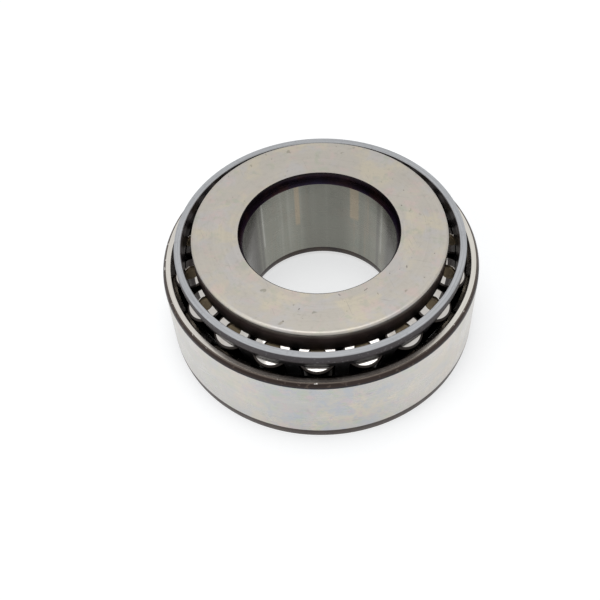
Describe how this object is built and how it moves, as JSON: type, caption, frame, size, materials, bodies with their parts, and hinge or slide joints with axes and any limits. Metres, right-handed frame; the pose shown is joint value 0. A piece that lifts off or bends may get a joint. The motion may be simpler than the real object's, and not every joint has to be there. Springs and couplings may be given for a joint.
{
  "type": "tapered roller bearing",
  "caption": "Single-row tapered roller bearing: a bored cone and tapered rollers in a pressed steel cage, standing proud inside a plain cup.",
  "frame": {"origin": "on the bearing's axis, at the back face of the cup, which is the face it lies on", "axes": "+Z along the bore axis, from the cup's back face towards the cone's wide back face; +X through the axis of roller_01"},
  "size_m": [0.0794, 0.0794, 0.0311],
  "materials": {
    "cup_steel": "ground, faintly stained, with dark heat-treated corners",
    "cone_steel": "finely ground, lightly scratched",
    "roller_steel": "ground and superfinished",
    "cage_steel": "pressed sheet, dull grey"
  },
  "bodies": {
    "outer_ring": {"cup": "cup_steel"},
    "inner_ring": {"cone": "cone_steel"},
    "cage": {"cage": "cage_steel"},
    "roller_01": {"roller_01": "roller_steel"},
    "roller_02": {"roller_02": "roller_steel"},
    "roller_03": {"roller_03": "roller_steel"},
    "roller_04": {"roller_04": "roller_steel"},
    "roller_05": {"roller_05": "roller_steel"},
    "roller_06": {"roller_06": "roller_steel"},
    "roller_07": {"roller_07": "roller_steel"},
    "roller_08": {"roller_08": "roller_steel"},
    "roller_09": {"roller_09": "roller_steel"},
    "roller_10": {"roller_10": "roller_steel"},
    "roller_11": {"roller_11": "roller_steel"},
    "roller_12": {"roller_12": "roller_steel"},
    "roller_13": {"roller_13": "roller_steel"},
    "roller_14": {"roller_14": "roller_steel"},
    "roller_15": {"roller_15": "roller_steel"},
    "roller_16": {"roller_16": "roller_steel"},
    "roller_17": {"roller_17": "roller_steel"},
    "roller_18": {"roller_18": "roller_steel"},
    "roller_19": {"roller_19": "roller_steel"}
  },
  "joints": [
    {"name": "inner_ring_spin", "type": "hinge", "parent": "outer_ring", "child": "inner_ring", "pos_m": [0, 0, 0.0153], "axis": [0, 0, 1], "continuous": true},
    {"name": "cage_spin", "type": "hinge", "parent": "outer_ring", "child": "cage", "pos_m": [0, 0, 0.0153], "axis": [0, 0, 1], "continuous": true},
    {"name": "roller_01_spin", "type": "hinge", "parent": "cage", "child": "roller_01", "pos_m": [0.02905, 0, 0.01437], "axis": [0.3079, 0, 0.9514], "continuous": true},
    {"name": "roller_02_spin", "type": "hinge", "parent": "cage", "child": "roller_02", "pos_m": [0.02747, 0.00943, 0.01437], "axis": [0.2912, 0.1, 0.9514], "continuous": true},
    {"name": "roller_03_spin", "type": "hinge", "parent": "cage", "child": "roller_03", "pos_m": [0.02292, 0.01784, 0.01437], "axis": [0.2429, 0.1891, 0.9514], "continuous": true},
    {"name": "roller_04_spin", "type": "hinge", "parent": "cage", "child": "roller_04", "pos_m": [0.01589, 0.02432, 0.01437], "axis": [0.1684, 0.2577, 0.9514], "continuous": true},
    {"name": "roller_05_spin", "type": "hinge", "parent": "cage", "child": "roller_05", "pos_m": [0.00713, 0.02816, 0.01437], "axis": [0.0756, 0.2984, 0.9514], "continuous": true},
    {"name": "roller_06_spin", "type": "hinge", "parent": "cage", "child": "roller_06", "pos_m": [-0.0024, 0.02895, 0.01437], "axis": [-0.0254, 0.3068, 0.9514], "continuous": true},
    {"name": "roller_07_spin", "type": "hinge", "parent": "cage", "child": "roller_07", "pos_m": [-0.01167, 0.0266, 0.01437], "axis": [-0.1237, 0.2819, 0.9514], "continuous": true},
    {"name": "roller_08_spin", "type": "hinge", "parent": "cage", "child": "roller_08", "pos_m": [-0.01967, 0.02137, 0.01437], "axis": [-0.2085, 0.2265, 0.9514], "continuous": true},
    {"name": "roller_09_spin", "type": "hinge", "parent": "cage", "child": "roller_09", "pos_m": [-0.02555, 0.01382, 0.01437], "axis": [-0.2708, 0.1465, 0.9514], "continuous": true},
    {"name": "roller_10_spin", "type": "hinge", "parent": "cage", "child": "roller_10", "pos_m": [-0.02865, 0.00478, 0.01437], "axis": [-0.3037, 0.0507, 0.9514], "continuous": true},
    {"name": "roller_11_spin", "type": "hinge", "parent": "cage", "child": "roller_11", "pos_m": [-0.02865, -0.00478, 0.01437], "axis": [-0.3037, -0.0507, 0.9514], "continuous": true},
    {"name": "roller_12_spin", "type": "hinge", "parent": "cage", "child": "roller_12", "pos_m": [-0.02555, -0.01382, 0.01437], "axis": [-0.2708, -0.1465, 0.9514], "continuous": true},
    {"name": "roller_13_spin", "type": "hinge", "parent": "cage", "child": "roller_13", "pos_m": [-0.01967, -0.02137, 0.01437], "axis": [-0.2085, -0.2265, 0.9514], "continuous": true},
    {"name": "roller_14_spin", "type": "hinge", "parent": "cage", "child": "roller_14", "pos_m": [-0.01167, -0.0266, 0.01437], "axis": [-0.1237, -0.2819, 0.9514], "continuous": true},
    {"name": "roller_15_spin", "type": "hinge", "parent": "cage", "child": "roller_15", "pos_m": [-0.0024, -0.02895, 0.01437], "axis": [-0.0254, -0.3068, 0.9514], "continuous": true},
    {"name": "roller_16_spin", "type": "hinge", "parent": "cage", "child": "roller_16", "pos_m": [0.00713, -0.02816, 0.01437], "axis": [0.0756, -0.2984, 0.9514], "continuous": true},
    {"name": "roller_17_spin", "type": "hinge", "parent": "cage", "child": "roller_17", "pos_m": [0.01589, -0.02432, 0.01437], "axis": [0.1684, -0.2577, 0.9514], "continuous": true},
    {"name": "roller_18_spin", "type": "hinge", "parent": "cage", "child": "roller_18", "pos_m": [0.02292, -0.01784, 0.01437], "axis": [0.2429, -0.1891, 0.9514], "continuous": true},
    {"name": "roller_19_spin", "type": "hinge", "parent": "cage", "child": "roller_19", "pos_m": [0.02747, -0.00943, 0.01437], "axis": [0.2912, -0.1, 0.9514], "continuous": true}
  ],
  "couplings": [
    {"joint": "cage_spin", "follows": "inner_ring_spin", "ratio": 0.42945},
    {"joint": "roller_01_spin", "follows": "inner_ring_spin", "ratio": -3.3044},
    {"joint": "roller_02_spin", "follows": "inner_ring_spin", "ratio": -3.3044},
    {"joint": "roller_03_spin", "follows": "inner_ring_spin", "ratio": -3.3044},
    {"joint": "roller_04_spin", "follows": "inner_ring_spin", "ratio": -3.3044},
    {"joint": "roller_05_spin", "follows": "inner_ring_spin", "ratio": -3.3044},
    {"joint": "roller_06_spin", "follows": "inner_ring_spin", "ratio": -3.3044},
    {"joint": "roller_07_spin", "follows": "inner_ring_spin", "ratio": -3.3044},
    {"joint": "roller_08_spin", "follows": "inner_ring_spin", "ratio": -3.3044},
    {"joint": "roller_09_spin", "follows": "inner_ring_spin", "ratio": -3.3044},
    {"joint": "roller_10_spin", "follows": "inner_ring_spin", "ratio": -3.3044},
    {"joint": "roller_11_spin", "follows": "inner_ring_spin", "ratio": -3.3044},
    {"joint": "roller_12_spin", "follows": "inner_ring_spin", "ratio": -3.3044},
    {"joint": "roller_13_spin", "follows": "inner_ring_spin", "ratio": -3.3044},
    {"joint": "roller_14_spin", "follows": "inner_ring_spin", "ratio": -3.3044},
    {"joint": "roller_15_spin", "follows": "inner_ring_spin", "ratio": -3.3044},
    {"joint": "roller_16_spin", "follows": "inner_ring_spin", "ratio": -3.3044},
    {"joint": "roller_17_spin", "follows": "inner_ring_spin", "ratio": -3.3044},
    {"joint": "roller_18_spin", "follows": "inner_ring_spin", "ratio": -3.3044},
    {"joint": "roller_19_spin", "follows": "inner_ring_spin", "ratio": -3.3044}
  ]
}
